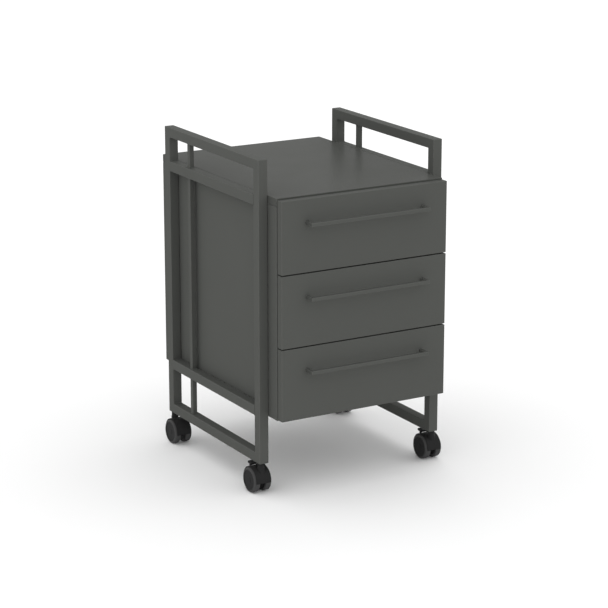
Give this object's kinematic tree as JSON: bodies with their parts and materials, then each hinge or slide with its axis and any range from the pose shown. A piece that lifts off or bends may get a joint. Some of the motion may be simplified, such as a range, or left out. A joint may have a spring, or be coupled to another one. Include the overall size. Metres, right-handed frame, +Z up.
{
  "type": "rolling pedestal cabinet",
  "caption": "Rolling drawer pedestal: full-front drawers with bar handles in a body hung between tube side frames with raised grips, on swivel twin-wheel casters.",
  "frame": {"origin": "on the floor, at the middle of the footprint of the whole object, handles included", "axes": "+Z up, +X to the right as seen from the drawers, the drawers open towards -Y"},
  "size_m": [0.432, 0.514, 0.662],
  "materials": {
    "frame_paint": "satin powder coat, dark warm grey",
    "body_board": "satin lacquered board, dark warm grey, same shade as the frame",
    "handle_paint": "satin powder coat, same shade as the frame",
    "box_board": "melamine faced board, mid grey",
    "slide_zinc": "bright zinc plate",
    "stem_steel": "zinc-plated steel",
    "caster_nylon": "black moulded nylon, satin",
    "wheel_tread": "dark grey tread on a black hub"
  },
  "bodies": {
    "cabinet": {"top_panel": "body_board", "bottom_panel": "body_board", "back_panel": "body_board", "left_side_panel": "body_board", "left_frame_hoop": "frame_paint", "left_upper_cross_rail": "frame_paint", "left_lower_cross_rail": "frame_paint", "left_top_thin_bar": "frame_paint", "left_middle_thin_bar": "frame_paint", "left_base_thin_bar": "frame_paint", "right_side_panel": "body_board", "right_frame_hoop": "frame_paint", "right_upper_cross_rail": "frame_paint", "right_lower_cross_rail": "frame_paint", "right_top_thin_bar": "frame_paint", "right_middle_thin_bar": "frame_paint", "right_base_thin_bar": "frame_paint", "lower_left_cabinet_rail": "slide_zinc", "lower_right_cabinet_rail": "slide_zinc", "middle_left_cabinet_rail": "slide_zinc", "middle_right_cabinet_rail": "slide_zinc", "upper_left_cabinet_rail": "slide_zinc", "upper_right_cabinet_rail": "slide_zinc", "front_left_caster_stem": "stem_steel", "front_right_caster_stem": "stem_steel", "rear_left_caster_stem": "stem_steel", "rear_right_caster_stem": "stem_steel"},
    "lower_drawer": {"lower_drawer_front": "body_board", "lower_drawer_handle": "handle_paint", "lower_drawer_box": "box_board", "lower_left_drawer_rail": "slide_zinc", "lower_right_drawer_rail": "slide_zinc"},
    "middle_drawer": {"middle_drawer_front": "body_board", "middle_drawer_handle": "handle_paint", "middle_drawer_box": "box_board", "middle_left_drawer_rail": "slide_zinc", "middle_right_drawer_rail": "slide_zinc"},
    "upper_drawer": {"upper_drawer_front": "body_board", "upper_drawer_handle": "handle_paint", "upper_drawer_box": "box_board", "upper_left_drawer_rail": "slide_zinc", "upper_right_drawer_rail": "slide_zinc"},
    "front_left_caster": {"front_left_caster_housing": "caster_nylon"},
    "front_left_left_wheel": {"front_left_left_wheel": "wheel_tread"},
    "front_left_right_wheel": {"front_left_right_wheel": "wheel_tread"},
    "front_left_brake": {"front_left_brake_lever": "caster_nylon"},
    "front_right_caster": {"front_right_caster_housing": "caster_nylon"},
    "front_right_left_wheel": {"front_right_left_wheel": "wheel_tread"},
    "front_right_right_wheel": {"front_right_right_wheel": "wheel_tread"},
    "front_right_brake": {"front_right_brake_lever": "caster_nylon"},
    "rear_left_caster": {"rear_left_caster_housing": "caster_nylon"},
    "rear_left_left_wheel": {"rear_left_left_wheel": "wheel_tread"},
    "rear_left_right_wheel": {"rear_left_right_wheel": "wheel_tread"},
    "rear_right_caster": {"rear_right_caster_housing": "caster_nylon"},
    "rear_right_left_wheel": {"rear_right_left_wheel": "wheel_tread"},
    "rear_right_right_wheel": {"rear_right_right_wheel": "wheel_tread"}
  },
  "joints": [
    {"name": "lower_drawer_slide", "type": "slide", "parent": "cabinet", "child": "lower_drawer", "axis": [0, -1, 0], "range_m": [0, 0.3]},
    {"name": "middle_drawer_slide", "type": "slide", "parent": "cabinet", "child": "middle_drawer", "axis": [0, -1, 0], "range_m": [0, 0.3]},
    {"name": "upper_drawer_slide", "type": "slide", "parent": "cabinet", "child": "upper_drawer", "axis": [0, -1, 0], "range_m": [0, 0.3]},
    {"name": "front_left_swivel", "type": "hinge", "parent": "cabinet", "child": "front_left_caster", "pos_m": [-0.197, -0.172, 0.06], "axis": [0, 0, 1], "continuous": true},
    {"name": "front_left_left_wheel_spin", "type": "hinge", "parent": "front_left_caster", "child": "front_left_left_wheel", "pos_m": [-0.197, -0.157, 0.025], "axis": [1, 0, 0], "continuous": true},
    {"name": "front_left_right_wheel_spin", "type": "hinge", "parent": "front_left_caster", "child": "front_left_right_wheel", "pos_m": [-0.197, -0.157, 0.025], "axis": [1, 0, 0], "continuous": true},
    {"name": "front_left_brake_press", "type": "hinge", "parent": "front_left_caster", "child": "front_left_brake", "pos_m": [-0.197, -0.145, 0.0527], "axis": [-1, 0, 0], "range_deg": [0, 12]},
    {"name": "front_right_swivel", "type": "hinge", "parent": "cabinet", "child": "front_right_caster", "pos_m": [0.197, -0.172, 0.06], "axis": [0, 0, 1], "continuous": true},
    {"name": "front_right_left_wheel_spin", "type": "hinge", "parent": "front_right_caster", "child": "front_right_left_wheel", "pos_m": [0.197, -0.157, 0.025], "axis": [1, 0, 0], "continuous": true},
    {"name": "front_right_right_wheel_spin", "type": "hinge", "parent": "front_right_caster", "child": "front_right_right_wheel", "pos_m": [0.197, -0.157, 0.025], "axis": [1, 0, 0], "continuous": true},
    {"name": "front_right_brake_press", "type": "hinge", "parent": "front_right_caster", "child": "front_right_brake", "pos_m": [0.197, -0.145, 0.0527], "axis": [-1, 0, 0], "range_deg": [0, 12]},
    {"name": "rear_left_swivel", "type": "hinge", "parent": "cabinet", "child": "rear_left_caster", "pos_m": [-0.197, 0.196, 0.06], "axis": [0, 0, 1], "continuous": true},
    {"name": "rear_left_left_wheel_spin", "type": "hinge", "parent": "rear_left_caster", "child": "rear_left_left_wheel", "pos_m": [-0.197, 0.181, 0.025], "axis": [1, 0, 0], "continuous": true},
    {"name": "rear_left_right_wheel_spin", "type": "hinge", "parent": "rear_left_caster", "child": "rear_left_right_wheel", "pos_m": [-0.197, 0.181, 0.025], "axis": [1, 0, 0], "continuous": true},
    {"name": "rear_right_swivel", "type": "hinge", "parent": "cabinet", "child": "rear_right_caster", "pos_m": [0.197, 0.196, 0.06], "axis": [0, 0, 1], "continuous": true},
    {"name": "rear_right_left_wheel_spin", "type": "hinge", "parent": "rear_right_caster", "child": "rear_right_left_wheel", "pos_m": [0.197, 0.181, 0.025], "axis": [1, 0, 0], "continuous": true},
    {"name": "rear_right_right_wheel_spin", "type": "hinge", "parent": "rear_right_caster", "child": "rear_right_right_wheel", "pos_m": [0.197, 0.181, 0.025], "axis": [1, 0, 0], "continuous": true}
  ]
}
